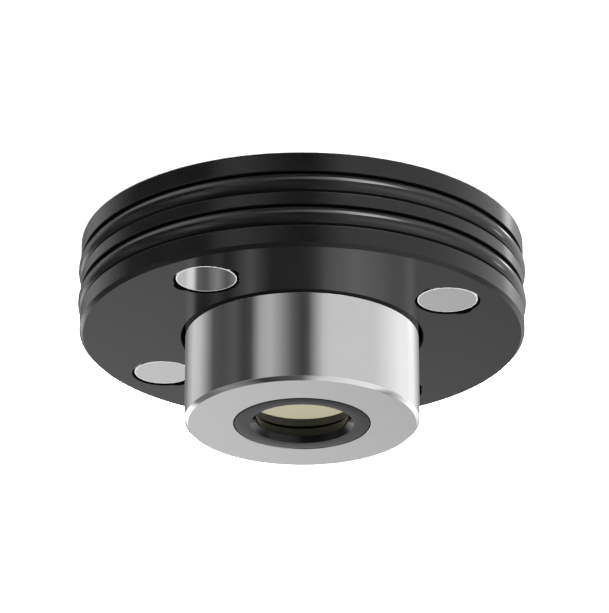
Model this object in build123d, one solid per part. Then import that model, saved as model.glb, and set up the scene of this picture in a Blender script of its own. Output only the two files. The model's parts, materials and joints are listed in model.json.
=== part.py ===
from build123d import *
import math
import os

# Laser collimator, standing on its flat rear face with its laser nose up.
# Millimetres. +Z is the laser beam's direction. The origin is the centre of the rear face.

# Flange: the disc that fits a two-inch drawtube
flange_radius = 25.3
flange_thickness = 11.1
front_rim_chamfer = 0.42
rear_rim_chamfer = 0.15
recess_radius = 21.4
recess_depth = 7.0
head_bore_radius = 13.6
head_bore_chamfer = 0.2

# O-rings in the rim
groove_width = 2.54
front_land = 2.44
middle_land = 1.40
o_ring_section_radius = 1.15
o_ring_stand_out = 0.235
o_ring_centre_radius = flange_radius + o_ring_stand_out - o_ring_section_radius
groove_floor_radius = o_ring_centre_radius - o_ring_section_radius
front_groove_top = flange_thickness - front_land
front_groove_bottom = front_groove_top - groove_width
rear_groove_top = front_groove_bottom - middle_land
rear_groove_bottom = rear_groove_top - groove_width

# Magnets in the flange's front face
magnet_count = 4
magnet_first_angle = 33.0
magnet_pitch_radius = 19.24
magnet_radius = 3.35
magnet_length = 3.0
magnet_edge_chamfer = 0.12
magnet_sink = 0.13
pocket_clearance = 0.25
relief_radius = 1.4
relief_offset = 2.6

# Laser barrel: the polished nose and its collar inside the flange
nose_radius = 13.25
nose_length = 10.5
nose_end = flange_thickness + nose_length
nose_chamfer = 0.42
collar_radius = 16.6
collar_rear = 4.75
collar_front = 6.15
barrel_rear_bore_radius = 12.0
barrel_rear_bore_top = 7.0
clamp_bore_radius = 9.0
module_shoulder = 8.8
module_bore_radius = 6.1
cell_bore_radius = 7.74
cell_bore_floor = 16.0

# Rubber ring between the collar and the flange's front wall
tilt_ring_radius = 15.0
tilt_ring_section_radius = (recess_depth - collar_front) / 2

# Window at the nose's end
cell_radius = 7.59
cell_thread_radius = 7.72
cell_thread_front = 20.8
lip_bore_radius = 5.24
lip_thickness = 1.47
lip_chamfer = 0.6
cell_inner_radius = 6.6
cell_fit_gap = 0.02
spacer_bore_radius = 6.07
window_depth = 3.06
window_thickness = 1.24
window_bevel = 0.15
retainer_bore_radius = 5.2
retainer_thickness = 0.9
lip_rear = nose_end - lip_thickness
window_front = nose_end - window_depth
window_rear = window_front - window_thickness

# Laser module
module_radius = 6.0
module_flange_radius = 8.0
module_rear = 8.0
module_front = 15.2
module_thread_radius = 4.0
diode_base_radius = 2.8
diode_base_thickness = 1.2
diode_can_radius = 1.78
diode_can_height = 2.3
diode_lead_radius = 0.225
diode_lead_pitch_radius = 1.27
diode_lead_length = 1.6
diode_lead_count = 3
thread_gap = 0.02
lens_holder_rear = 11.7
lens_holder_front = 15.0
lens_holder_bore_radius = 2.4
lens_radius = 3.0
lens_rear = 12.6
lens_edge = 0.8
lens_crown = 0.7
focus_spring_radius = 3.2
focus_spring_wire_radius = 0.25
focus_spring_rear = 9.5
focus_spring_front = 11.4
focus_spring_turns = 3
clamp_ring_rear = 7.2
clamp_ring_bore_radius = 4.5

# Rear cover and its screws
cover_radius = 21.3
cover_thickness = 2.0
cover_screw_count = 3
cover_screw_first_angle = 30.0
cover_screw_pitch_radius = 19.3
post_radius = 2.3
post_hole_top = 6.0
cover_screw_radius = 0.8
cover_screw_head_radius = 1.5
cover_screw_head_height = 0.75
cover_screw_sink = 0.1
cover_screw_length = 5.4
cover_screw_clearance = 0.1
cover_screw_socket_flats = 1.1
cover_screw_socket_depth = 0.6
screw_hole_gap = 0.02

# Adjusting screws: they push on the collar and tilt the laser head
adjusting_screw_count = 3
adjusting_screw_first_angle = 90.0
adjusting_screw_pitch_radius = 15.0
adjusting_screw_radius = 1.5
adjusting_screw_rear = 0.3
adjusting_screw_front = 4.3
adjusting_screw_tip_chamfer = 0.35
adjusting_boss_radius = 2.5
adjusting_boss_top = 3.2
hex_socket_flats = 1.5
hex_socket_depth = 1.5

# Bayonet battery cap
battery_opening_radius = 10.95
cap_counterbore_radius = 12.3
cap_counterbore_depth = 1.0
cap_slot_radius = 12.05
cap_slot_degrees = 36.0
cap_lug_radius = 11.9
cap_lug_degrees = 30.0
cap_lug_rear = 2.05
cap_lug_front = 2.75
cap_lug_count = 3
cap_lug_first_angle = 90.0
cap_unlock_turn = 60.0
cap_disc_radius = 12.15
cap_rear = 0.1
cap_disc_front = 0.8
cap_hub_radius = 10.85
cap_floor = 1.0
cap_hub_bore_radius = 10.15
coin_slot_length = 14.0
coin_slot_width = 1.8
coin_slot_depth = 0.5
gasket_inner_radius = 11.0
gasket_outer_radius = 12.1
gasket_front = 0.98

# Coin cell, its holder and contacts
coin_cell_radius = 10.0
coin_cell_rim_width = 1.3
coin_cell_step = 0.35
battery_rear = 1.3
battery_thickness = 3.2
battery_can_round = 0.5
battery_front = battery_rear + battery_thickness
holder_inner_radius = 10.15
holder_outer_radius = 10.85
holder_flange_radius = 12.4
holder_rear = 2.87
holder_top_rear = 4.95
holder_front = 5.5
holder_window_radius = 4.0
contact_thickness = 0.12
contact_outer_radius = 8.0
contact_inner_radius = 2.0

# Driver board and what is on it
board_rear = 3.4
board_thickness = 0.8
board_inner_radius = 11.0
board_outer_radius = 20.6
board_adjuster_hole_radius = 1.9
board_post_notch_radius = 2.7
standoff_radius = 1.7
board_screw_first_angle = 0.0
board_screw_pitch_radius = 18.6
board_screw_radius = 0.78
board_screw_head_radius = 1.3
board_screw_head_height = 0.7
board_screw_bottom = 2.3
board_front = board_rear + board_thickness
component_pitch_radius = 15.6
chip_size = (4.0, 4.9, 1.1)
chip_angle = 180.0
capacitor_size = (2.5, 3.2, 1.2)
capacitor_angle = 300.0
resistor_size = (1.25, 2.0, 0.55)
resistor_angles = (108.0, 352.0)

# Power button and its switch
button_angle = 60.0
button_pitch_radius = 17.0
button_radius = 2.4
button_hole_radius = 2.5
button_rear = 0.35
button_rim_radius = 3.0
button_rim_pocket_radius = 3.15
button_rim_pocket_floor = 1.1
button_rim_rear = 1.15
button_front = 1.6
button_edge_round = 0.3
switch_size = 4.5
switch_rear = 2.3
plunger_radius = 0.9
plunger_bore_radius = 0.97
plunger_front = 2.8
plunger_bore_floor = 3.2

# Wires from the board to the diode
wire_radius = 0.25
wire_pad_radius = 11.45
wire_height = 6.0
wire_bend_radius = 0.8
wire_spread = 12.0
wire_lead_angles = (0.0, 120.0)

bottom_up = (Align.CENTER, Align.CENTER, Align.MIN)


def disc(radius, low, high):
    """A plain cylinder on the Z axis between two heights."""
    return Pos(0, 0, low) * Cylinder(radius, high - low, align=bottom_up)


def ring(outer, inner, low, high):
    """A plain tube on the Z axis between two heights."""
    return disc(outer, low, high) - disc(inner, low, high)


def turned(outline):
    """A lathe-turned solid: a closed outline of (radius, height) points, turned about Z."""
    edges = Polyline([(radius, 0, height) for radius, height in outline], close=True)
    return revolve(make_face(edges), Axis.Z)


def at_polar(radius, angle, solid):
    """The solid moved out to a pitch radius and turned with its angle about Z."""
    return Rot(0, 0, angle) * Pos(radius, 0, 0) * solid


def spread(count, first_angle):
    """Evenly spaced angles about Z, in degrees."""
    return [first_angle + 360.0 * index / count for index in range(count)]


def sector(radius, degrees, low, high):
    """A pie slice of a cylinder, centred on the +X direction."""
    half = math.radians(degrees / 2)
    reach = radius * 2
    wedge_outline = Polyline(
        (0, 0),
        (reach * math.cos(half), -reach * math.sin(half)),
        (reach * math.cos(half), reach * math.sin(half)),
        close=True,
    )
    wedge = Pos(0, 0, low) * extrude(make_face(wedge_outline), high - low)
    return disc(radius, low, high) & wedge


def flange_body():
    rim = [
        (recess_radius, 0),
        (flange_radius - rear_rim_chamfer, 0),
        (flange_radius, rear_rim_chamfer),
        (flange_radius, rear_groove_bottom),
        (groove_floor_radius, rear_groove_bottom),
        (groove_floor_radius, rear_groove_top),
        (flange_radius, rear_groove_top),
        (flange_radius, front_groove_bottom),
        (groove_floor_radius, front_groove_bottom),
        (groove_floor_radius, front_groove_top),
        (flange_radius, front_groove_top),
        (flange_radius, flange_thickness - front_rim_chamfer),
        (flange_radius - front_rim_chamfer, flange_thickness),
        (head_bore_radius + head_bore_chamfer, flange_thickness),
        (head_bore_radius, flange_thickness - head_bore_chamfer),
        (head_bore_radius, recess_depth),
        (recess_radius, recess_depth),
    ]
    body = turned(rim)
    screw_hole = disc(cover_screw_radius + screw_hole_gap, cover_thickness, post_hole_top)
    post = disc(post_radius, cover_thickness, recess_depth) - screw_hole
    for angle in spread(cover_screw_count, cover_screw_first_angle):
        body += at_polar(cover_screw_pitch_radius, angle, post)
    for angle in spread(magnet_count, magnet_first_angle):
        body -= at_polar(magnet_pitch_radius, angle, magnet_pocket())
    return body


def magnet_pocket():
    """A round pocket with a glue gap and two side notches, where a pick can lift the magnet out."""
    floor = flange_thickness - magnet_sink - magnet_length
    pocket = disc(magnet_radius + pocket_clearance, floor, flange_thickness)
    for side in (-1, 1):
        pocket += Pos(0, side * relief_offset, 0) * disc(relief_radius, floor, flange_thickness)
    return pocket


def magnet(angle):
    front = flange_thickness - magnet_sink
    rear = front - magnet_length
    outline = [
        (0, rear),
        (magnet_radius - magnet_edge_chamfer, rear),
        (magnet_radius, rear + magnet_edge_chamfer),
        (magnet_radius, front - magnet_edge_chamfer),
        (magnet_radius - magnet_edge_chamfer, front),
        (0, front),
    ]
    return at_polar(magnet_pitch_radius, angle, turned(outline))


def o_ring(groove_bottom, groove_top):
    centre = (groove_bottom + groove_top) / 2
    return Pos(0, 0, centre) * Torus(o_ring_centre_radius, o_ring_section_radius)


def laser_barrel():
    outline = [
        (barrel_rear_bore_radius, collar_rear),
        (collar_radius, collar_rear),
        (collar_radius, collar_front),
        (nose_radius, collar_front),
        (nose_radius, nose_end - nose_chamfer),
        (nose_radius - nose_chamfer, nose_end),
        (cell_bore_radius, nose_end),
        (cell_bore_radius, cell_bore_floor),
        (module_bore_radius, cell_bore_floor),
        (module_bore_radius, module_shoulder),
        (clamp_bore_radius, module_shoulder),
        (clamp_bore_radius, barrel_rear_bore_top),
        (barrel_rear_bore_radius, barrel_rear_bore_top),
    ]
    return turned(outline)


def tilt_ring():
    centre = (collar_front + recess_depth) / 2
    return Pos(0, 0, centre) * Torus(tilt_ring_radius, tilt_ring_section_radius)


def window_cell():
    outline = [
        (cell_inner_radius, cell_bore_floor),
        (cell_thread_radius, cell_bore_floor),
        (cell_thread_radius, cell_thread_front),
        (cell_radius, cell_thread_front),
        (cell_radius, nose_end),
        (lip_bore_radius, nose_end),
        (lip_bore_radius, lip_rear),
        (cell_inner_radius, lip_rear),
    ]
    cell = turned(outline)
    front_edges = cell.edges().filter_by(GeomType.CIRCLE).group_by(Axis.Z)[-1]
    return chamfer(front_edges.sort_by(SortBy.LENGTH)[0], lip_chamfer)


def window_spacer():
    return ring(cell_inner_radius - cell_fit_gap, spacer_bore_radius, window_front, lip_rear)


def front_window():
    radius = cell_inner_radius - cell_fit_gap
    outline = [
        (0, window_rear),
        (radius - window_bevel, window_rear),
        (radius, window_rear + window_bevel),
        (radius, window_front - window_bevel),
        (radius - window_bevel, window_front),
        (0, window_front),
    ]
    return turned(outline)


def window_retainer():
    outer = cell_inner_radius - cell_fit_gap
    return ring(outer, retainer_bore_radius, window_rear - retainer_thickness, window_rear)


def module_housing():
    diode_seat = module_rear + diode_base_thickness
    outline = [
        (diode_base_radius + thread_gap, module_rear),
        (module_flange_radius, module_rear),
        (module_flange_radius, module_shoulder),
        (module_radius, module_shoulder),
        (module_radius, module_front),
        (module_thread_radius, module_front),
        (module_thread_radius, diode_seat),
        (diode_base_radius + thread_gap, diode_seat),
    ]
    return turned(outline)


def laser_diode():
    can_rear = module_rear + diode_base_thickness
    diode = disc(diode_base_radius, module_rear, can_rear)
    diode += disc(diode_can_radius, can_rear, can_rear + diode_can_height)
    lead = disc(diode_lead_radius, module_rear - diode_lead_length, module_rear)
    for angle in spread(diode_lead_count, 0):
        diode += at_polar(diode_lead_pitch_radius, angle, lead)
    return diode


def focus_spring():
    pitch = (focus_spring_front - focus_spring_rear) / focus_spring_turns
    height = focus_spring_front - focus_spring_rear
    path = Pos(0, 0, focus_spring_rear) * Helix(pitch, height, focus_spring_radius)
    section = Plane(origin=path @ 0, z_dir=path % 0) * Circle(focus_spring_wire_radius)
    return sweep(section, path, is_frenet=True)


def lens_holder():
    outer = module_thread_radius - thread_gap
    lens_front = lens_rear + lens_edge
    outline = [
        (lens_radius + thread_gap, lens_holder_rear),
        (outer, lens_holder_rear),
        (outer, lens_holder_front),
        (lens_holder_bore_radius, lens_holder_front),
        (lens_holder_bore_radius, lens_front),
        (lens_radius + thread_gap, lens_front),
    ]
    return turned(outline)


def collimating_lens():
    """Plano-convex: flat towards the diode, a crown towards the window."""
    bore = lens_holder_bore_radius
    crown_radius = (bore * bore + lens_crown * lens_crown) / (2 * lens_crown)
    crown_centre = lens_rear + lens_edge + lens_crown - crown_radius
    edge = disc(lens_radius, lens_rear, lens_rear + lens_edge)
    dome = Pos(0, 0, crown_centre) * Sphere(crown_radius)
    crown = dome & disc(crown_radius, lens_rear + lens_edge, nose_end)
    return edge + crown


def module_clamp_ring():
    return ring(clamp_bore_radius - thread_gap, clamp_ring_bore_radius, clamp_ring_rear, module_rear)


def rear_cover():
    cover = disc(cover_radius, 0, cover_thickness)
    cover -= disc(battery_opening_radius, 0, cover_thickness)
    cover -= disc(cap_counterbore_radius, 0, cap_counterbore_depth)
    slot = sector(cap_slot_radius, cap_slot_degrees, cap_counterbore_depth, cover_thickness)
    for angle in spread(cap_lug_count, cap_lug_first_angle + cap_unlock_turn):
        cover -= Rot(0, 0, angle) * slot
    for angle in spread(cover_screw_count, cover_screw_first_angle):
        cover -= at_polar(cover_screw_pitch_radius, angle, countersunk_hole())
    boss = disc(adjusting_boss_radius, cover_thickness, adjusting_boss_top)
    thread = disc(adjusting_screw_radius + screw_hole_gap, 0, adjusting_boss_top)
    for angle in spread(adjusting_screw_count, adjusting_screw_first_angle):
        cover += at_polar(adjusting_screw_pitch_radius, angle, boss)
        cover -= at_polar(adjusting_screw_pitch_radius, angle, thread)
    standoff = disc(standoff_radius, cover_thickness, board_rear)
    standoff_hole = disc(board_screw_radius + screw_hole_gap, board_screw_bottom, board_rear)
    for angle in spread(cover_screw_count, board_screw_first_angle):
        cover += at_polar(board_screw_pitch_radius, angle, standoff - standoff_hole)
    button_hole = disc(button_hole_radius, 0, cover_thickness)
    button_hole += disc(button_rim_pocket_radius, button_rim_pocket_floor, cover_thickness)
    cover -= at_polar(button_pitch_radius, button_angle, button_hole)
    return cover


def countersunk_hole():
    hole = cover_screw_radius + cover_screw_clearance
    rim = cover_screw_head_radius + cover_screw_clearance
    outline = [
        (0, 0),
        (rim, 0),
        (rim, cover_screw_sink),
        (hole, cover_screw_sink + cover_screw_head_height),
        (hole, cover_thickness),
        (0, cover_thickness),
    ]
    return turned(outline)


def cover_screws():
    """Three countersunk screws, as separate solids in one node."""
    rear = cover_screw_sink
    outline = [
        (0, rear),
        (cover_screw_head_radius, rear),
        (cover_screw_radius, rear + cover_screw_head_height),
        (cover_screw_radius, rear + cover_screw_length),
        (0, rear + cover_screw_length),
    ]
    screw = turned(outline) - hex_socket(rear, cover_screw_socket_flats, cover_screw_socket_depth)
    angles = spread(cover_screw_count, cover_screw_first_angle)
    return [at_polar(cover_screw_pitch_radius, angle, screw) for angle in angles]


def hex_socket(rear, flats, depth):
    """A hexagon key's hole that opens downwards at the given height."""
    hexagon = RegularPolygon(flats / 2, 6, major_radius=False)
    return Pos(0, 0, rear) * extrude(hexagon, depth)


def adjusting_screw(angle):
    tip = adjusting_screw_front - adjusting_screw_tip_chamfer
    outline = [
        (0, adjusting_screw_rear),
        (adjusting_screw_radius, adjusting_screw_rear),
        (adjusting_screw_radius, tip),
        (adjusting_screw_radius - adjusting_screw_tip_chamfer, adjusting_screw_front),
        (0, adjusting_screw_front),
    ]
    screw = turned(outline) - hex_socket(adjusting_screw_rear, hex_socket_flats, hex_socket_depth)
    return at_polar(adjusting_screw_pitch_radius, angle, screw)


def battery_cap():
    outline = [
        (0, cap_rear),
        (cap_disc_radius, cap_rear),
        (cap_disc_radius, cap_disc_front),
        (cap_hub_radius, cap_disc_front),
        (cap_hub_radius, cap_lug_front),
        (cap_hub_bore_radius, cap_lug_front),
        (cap_hub_bore_radius, cap_floor),
        (0, cap_floor),
    ]
    cap = turned(outline)
    lug = sector(cap_lug_radius, cap_lug_degrees, cap_lug_rear, cap_lug_front)
    lug -= disc(cap_hub_bore_radius, cap_lug_rear, cap_lug_front)
    for angle in spread(cap_lug_count, cap_lug_first_angle):
        cap += Rot(0, 0, angle) * lug
    coin_slot = Box(coin_slot_length, coin_slot_width, coin_slot_depth, align=bottom_up)
    return cap - Pos(0, 0, cap_rear) * coin_slot


def cap_gasket():
    return ring(gasket_outer_radius, gasket_inner_radius, cap_disc_front, gasket_front)


def battery_cell():
    """A coin cell: the wide can is the positive side, towards the cap."""
    can_front = battery_front - coin_cell_step
    can = disc(coin_cell_radius, battery_rear, can_front)
    can = fillet(can.edges().group_by(Axis.Z)[0], battery_can_round)
    return can + disc(coin_cell_radius - coin_cell_rim_width, can_front, battery_front)


def battery_holder():
    outline = [
        (holder_inner_radius, holder_rear),
        (holder_flange_radius, holder_rear),
        (holder_flange_radius, board_rear),
        (holder_outer_radius, board_rear),
        (holder_outer_radius, holder_front),
        (holder_window_radius, holder_front),
        (holder_window_radius, holder_top_rear),
        (holder_inner_radius, holder_top_rear),
    ]
    return turned(outline)


def dished_contact(rim_height, centre_height):
    """A thin dished spring disc, from the height of its rim to that of its raised centre."""
    outline = [
        (contact_inner_radius, centre_height),
        (contact_outer_radius, rim_height),
        (contact_outer_radius, rim_height + contact_thickness),
        (contact_inner_radius, centre_height + contact_thickness),
    ]
    return turned(outline)


def driver_board():
    board = ring(board_outer_radius, board_inner_radius, board_rear, board_front)
    notch = disc(board_post_notch_radius, board_rear, board_front)
    for angle in spread(cover_screw_count, cover_screw_first_angle):
        board -= at_polar(cover_screw_pitch_radius, angle, notch)
    screw_way = disc(board_adjuster_hole_radius, board_rear, board_front)
    for angle in spread(adjusting_screw_count, adjusting_screw_first_angle):
        board -= at_polar(adjusting_screw_pitch_radius, angle, screw_way)
    screw_hole = disc(board_screw_radius + screw_hole_gap, board_rear, board_front)
    for angle in spread(cover_screw_count, board_screw_first_angle):
        board -= at_polar(board_screw_pitch_radius, angle, screw_hole)
    return board


def board_screws():
    """Three pan-head screws, as separate solids in one node."""
    head = disc(board_screw_head_radius, board_front, board_front + board_screw_head_height)
    screw = head + disc(board_screw_radius, board_screw_bottom, board_front)
    angles = spread(cover_screw_count, board_screw_first_angle)
    return [at_polar(board_screw_pitch_radius, angle, screw) for angle in angles]


def board_block(size, angle):
    """A surface-mounted block under the board."""
    width, length, height = size
    block = Box(width, length, height, align=bottom_up)
    return at_polar(component_pitch_radius, angle, Pos(0, 0, board_rear - height) * block)


def resistors():
    return [board_block(resistor_size, angle) for angle in resistor_angles]


def switch_body():
    height = board_rear - switch_rear
    body = Pos(0, 0, switch_rear) * Box(switch_size, switch_size, height, align=bottom_up)
    body -= disc(plunger_bore_radius, switch_rear, plunger_bore_floor)
    return at_polar(button_pitch_radius, button_angle, body)


def switch_plunger():
    plunger = disc(plunger_radius, button_front, plunger_front)
    return at_polar(button_pitch_radius, button_angle, plunger)


def power_button():
    button = disc(button_radius, button_rear, button_front)
    button = fillet(button.edges().group_by(Axis.Z)[0], button_edge_round)
    button += disc(button_rim_radius, button_rim_rear, button_front)
    return at_polar(button_pitch_radius, button_angle, button)


def diode_wire(lead_angle, pad_angle):
    """A thin wire: up from the board past the battery holder, then in to a diode lead."""
    pad = Vector(wire_pad_radius, 0, 0).rotate(Axis.Z, pad_angle)
    lead = Vector(diode_lead_pitch_radius, 0, 0).rotate(Axis.Z, lead_angle)
    path = FilletPolyline(
        (pad.X, pad.Y, board_front),
        (pad.X, pad.Y, wire_height),
        (lead.X, lead.Y, wire_height),
        radius=wire_bend_radius,
    )
    section = Plane(origin=path @ 0, z_dir=path % 0) * Circle(wire_radius)
    return sweep(section, path)


def save(name, shape):
    """Write one node, whose shape is a solid or a list of separate solids."""
    if isinstance(shape, list):
        shape = Compound(children=[solid for part in shape for solid in part.solids()])
    export_step(shape, os.path.join("parts", name + ".step"))


def build():
    os.makedirs("parts", exist_ok=True)
    save("flange_body", flange_body())
    save("front_o_ring", o_ring(front_groove_bottom, front_groove_top))
    save("rear_o_ring", o_ring(rear_groove_bottom, rear_groove_top))
    for number, angle in enumerate(spread(magnet_count, magnet_first_angle), start=1):
        save(f"magnet_{number}", magnet(angle))
    save("laser_barrel", laser_barrel())
    save("tilt_ring", tilt_ring())
    save("window_cell", window_cell())
    save("window_spacer", window_spacer())
    save("front_window", front_window())
    save("window_retainer", window_retainer())
    save("module_housing", module_housing())
    save("laser_diode", laser_diode())
    save("focus_spring", focus_spring())
    save("lens_holder", lens_holder())
    save("collimating_lens", collimating_lens())
    save("module_clamp_ring", module_clamp_ring())
    save("rear_cover", rear_cover())
    save("cover_screws", cover_screws())
    screw_angles = spread(adjusting_screw_count, adjusting_screw_first_angle)
    for number, angle in enumerate(screw_angles, start=1):
        save(f"adjusting_screw_{number}", adjusting_screw(angle))
    save("battery_cap", battery_cap())
    save("cap_gasket", cap_gasket())
    save("battery_cell", battery_cell())
    save("battery_holder", battery_holder())
    save("positive_contact", dished_contact(cap_floor, battery_rear - contact_thickness))
    save("negative_contact", dished_contact(holder_top_rear - contact_thickness, battery_front))
    save("driver_board", driver_board())
    save("board_screws", board_screws())
    save("driver_chip", board_block(chip_size, chip_angle))
    save("smoothing_capacitor", board_block(capacitor_size, capacitor_angle))
    save("resistors", resistors())
    save("switch_body", switch_body())
    save("switch_plunger", switch_plunger())
    save("power_button", power_button())
    red_angle, black_angle = wire_lead_angles
    save("red_wire", diode_wire(red_angle, red_angle - wire_spread))
    save("black_wire", diode_wire(black_angle, black_angle + wire_spread))


build()
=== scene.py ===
"""Looks of the laser collimator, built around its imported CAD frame.

Metres, in the frame of the CAD: the flange stands on its rear face, the laser nose points up.
Sizes that the frame can't give, such as small edge rounds, are named in millimetres below.
"""

import json
import math

import bmesh
import bpy
from mathutils import Matrix, Vector
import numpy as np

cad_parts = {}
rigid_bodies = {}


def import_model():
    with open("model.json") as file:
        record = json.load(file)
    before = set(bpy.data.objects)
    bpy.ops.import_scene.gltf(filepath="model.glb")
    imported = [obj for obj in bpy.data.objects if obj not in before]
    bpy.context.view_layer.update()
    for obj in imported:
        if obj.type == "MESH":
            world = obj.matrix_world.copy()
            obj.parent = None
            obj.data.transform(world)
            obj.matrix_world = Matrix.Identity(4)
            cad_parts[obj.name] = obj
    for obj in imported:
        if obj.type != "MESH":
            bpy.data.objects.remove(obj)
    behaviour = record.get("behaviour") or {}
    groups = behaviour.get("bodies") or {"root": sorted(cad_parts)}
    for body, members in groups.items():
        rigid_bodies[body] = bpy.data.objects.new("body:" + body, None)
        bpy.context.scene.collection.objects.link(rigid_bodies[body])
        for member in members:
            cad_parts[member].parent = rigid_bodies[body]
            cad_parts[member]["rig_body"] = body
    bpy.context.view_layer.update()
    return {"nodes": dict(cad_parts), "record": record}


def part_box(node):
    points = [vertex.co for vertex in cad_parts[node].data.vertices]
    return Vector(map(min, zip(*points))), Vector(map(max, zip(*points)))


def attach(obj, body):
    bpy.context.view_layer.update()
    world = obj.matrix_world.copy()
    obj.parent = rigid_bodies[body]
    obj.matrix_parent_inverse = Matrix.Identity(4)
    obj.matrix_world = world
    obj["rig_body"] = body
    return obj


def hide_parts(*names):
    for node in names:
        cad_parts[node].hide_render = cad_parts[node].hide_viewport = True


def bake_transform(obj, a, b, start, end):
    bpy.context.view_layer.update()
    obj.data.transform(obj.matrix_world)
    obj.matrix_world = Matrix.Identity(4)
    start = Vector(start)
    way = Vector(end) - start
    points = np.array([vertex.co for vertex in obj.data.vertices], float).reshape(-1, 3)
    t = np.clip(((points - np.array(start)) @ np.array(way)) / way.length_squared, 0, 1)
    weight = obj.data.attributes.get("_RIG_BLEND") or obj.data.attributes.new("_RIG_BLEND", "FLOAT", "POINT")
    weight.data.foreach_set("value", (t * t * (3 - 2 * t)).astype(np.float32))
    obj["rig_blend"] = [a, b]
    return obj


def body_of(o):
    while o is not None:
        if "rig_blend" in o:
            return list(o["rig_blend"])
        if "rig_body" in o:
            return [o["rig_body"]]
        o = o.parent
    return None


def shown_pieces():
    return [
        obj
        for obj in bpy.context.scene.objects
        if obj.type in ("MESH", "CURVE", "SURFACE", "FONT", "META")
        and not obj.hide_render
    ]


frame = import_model()

MM = 0.001
FINE_SEGMENTS = 256
SMALL_SEGMENTS = 96
POCKET_SEGMENTS = 144
O_RING_STEPS = 72
TILT_RING_STEPS = 24
CORNER_STEPS = 4
SHARP_ANGLE = math.radians(32)
# A corner's round takes at most this share of each of its two edges.
LONGEST_ROUND_SHARE = 0.48
MERGE_DISTANCE = 1e-7
DEGENERATE_EDGE = 1e-8
# A face whose normal's Z is beyond this lies flat.
FLAT_NORMAL = 0.99

# ------------------------------------------------------------------ sizes read from the frame


def radius_of(node):
    low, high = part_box(node)
    return (high.x - low.x) / 2


flange_radius = radius_of("flange_body")
face_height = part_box("flange_body")[1].z
barrel_low, barrel_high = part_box("laser_barrel")
collar_low = barrel_low.z
nose_top = barrel_high.z
MAGNET_NODES = [f"magnet_{number}" for number in range(1, 5)]

# ------------------------------------------------------------------ sizes that repeat the CAD's (mm)

GROOVE_WIDTH = 2.54
FRONT_LAND = 2.44
MIDDLE_LAND = 1.40
GROOVE_FLOOR = 23.235
RIM_CHAMFER = 0.42
REAR_CHAMFER = 0.15
RECESS_RADIUS = 21.4
RECESS_DEPTH = 7.0
BORE_RADIUS = 13.6
BORE_CHAMFER = 0.2
POCKET_RADIUS = 3.6
POCKET_DEPTH = 3.13
NOTCH_RADIUS = 1.4
NOTCH_OFFSET = 2.6
POCKET_EDGE = 0.05
NOSE_RADIUS = 13.25
NOSE_CHAMFER = 0.42
ROOT_HEIGHT = 0.17
ROOT_DEPTH = 0.04
COLLAR_TOP = 6.15
BARREL_REAR_BORE = 12.0
BARREL_STEP = 7.0
CLAMP_BORE = 9.0
MODULE_SHOULDER = 8.8
MODULE_BORE = 6.1
CELL_BORE = 7.74
CELL_FLOOR = 16.0
CELL_RADIUS = 7.59
CELL_THREAD_RADIUS = 7.72
CELL_THREAD_TOP = 20.8
LIP_BORE = 5.24
LIP_THICKNESS = 1.47
LIP_CHAMFER = 0.6
CELL_INNER = 6.6
SPACER_BORE = 6.07

# ------------------------------------------------------------------ sizes of the looks alone (mm)

# Rounds of edges, from the usual one to the sharpest.
USUAL_EDGE = 0.06
NOSE_EDGE = 0.05
FINE_EDGE = 0.03
HAIR_EDGE = 0.02
LIP_EDGE = 0.015
# The round of a magnet's edges, and how far in from its rim the painted highlight reaches.
MAGNET_ROUND = 0.12
MAGNET_EDGE = 0.13
WINDOW_BEVEL = 0.15
# The tilt ring's section is thinner than the CAD's by this much all round.
TILT_RING_GAP = 0.01
# How far the spacer lies in the lip's shade, from its upper end down.
LIP_SHADE = 0.7
# The barrel's faces further out than this, below the top of its root, lie in shade.
BARREL_SHADE_RADIUS = 8.74
# Faces nearer to a height than this count as being at it.
TOUCH = 0.001


# ------------------------------------------------------------------ mesh helpers


def rounded_outline(outline, closed=True):
    """The (radius, height, round) points as (radius, height) points with small arcs at corners."""
    points = []
    count = len(outline)
    for index, (x, y, round_radius) in enumerate(outline):
        at_end = not closed and index in (0, count - 1)
        if at_end or round_radius <= 0:
            points.append((x, y))
            continue
        here = Vector((x, y))
        before = Vector(outline[index - 1][:2]) - here
        after = Vector(outline[(index + 1) % count][:2]) - here
        points.extend(corner_arc(here, before, after, round_radius))
    return points


def corner_arc(corner, before, after, round_radius):
    """Points of the arc that rounds a corner between two edges."""
    turn = before.angle(after)
    reach = round_radius / math.tan(turn / 2)
    reach = min(reach, before.length * LONGEST_ROUND_SHARE, after.length * LONGEST_ROUND_SHARE)
    round_radius = reach * math.tan(turn / 2)
    start = corner + before.normalized() * reach
    end = corner + after.normalized() * reach
    inward = (before.normalized() + after.normalized()).normalized()
    centre = corner + inward * (round_radius / math.sin(turn / 2))
    points = []
    for step in range(CORNER_STEPS + 1):
        share = step / CORNER_STEPS
        spoke = (start - centre).lerp(end - centre, share).normalized() * round_radius
        points.append(tuple(centre + spoke))
    return points


def lathe_faces(bm, points, segments, closed):
    """Turns (radius, height) points in mm about Z. Returns the rings of vertices."""
    rings = []
    for radius, height in points:
        ring = []
        for index in range(segments):
            angle = math.tau * index / segments
            place = (radius * MM * math.cos(angle), radius * MM * math.sin(angle), height * MM)
            ring.append(bm.verts.new(place))
        rings.append(ring)
    pairs = list(zip(rings, rings[1:]))
    if closed:
        pairs.append((rings[-1], rings[0]))
    for lower, upper in pairs:
        for index in range(segments):
            following = (index + 1) % segments
            bm.faces.new((lower[index], lower[following], upper[following], upper[index]))
    return rings


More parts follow.
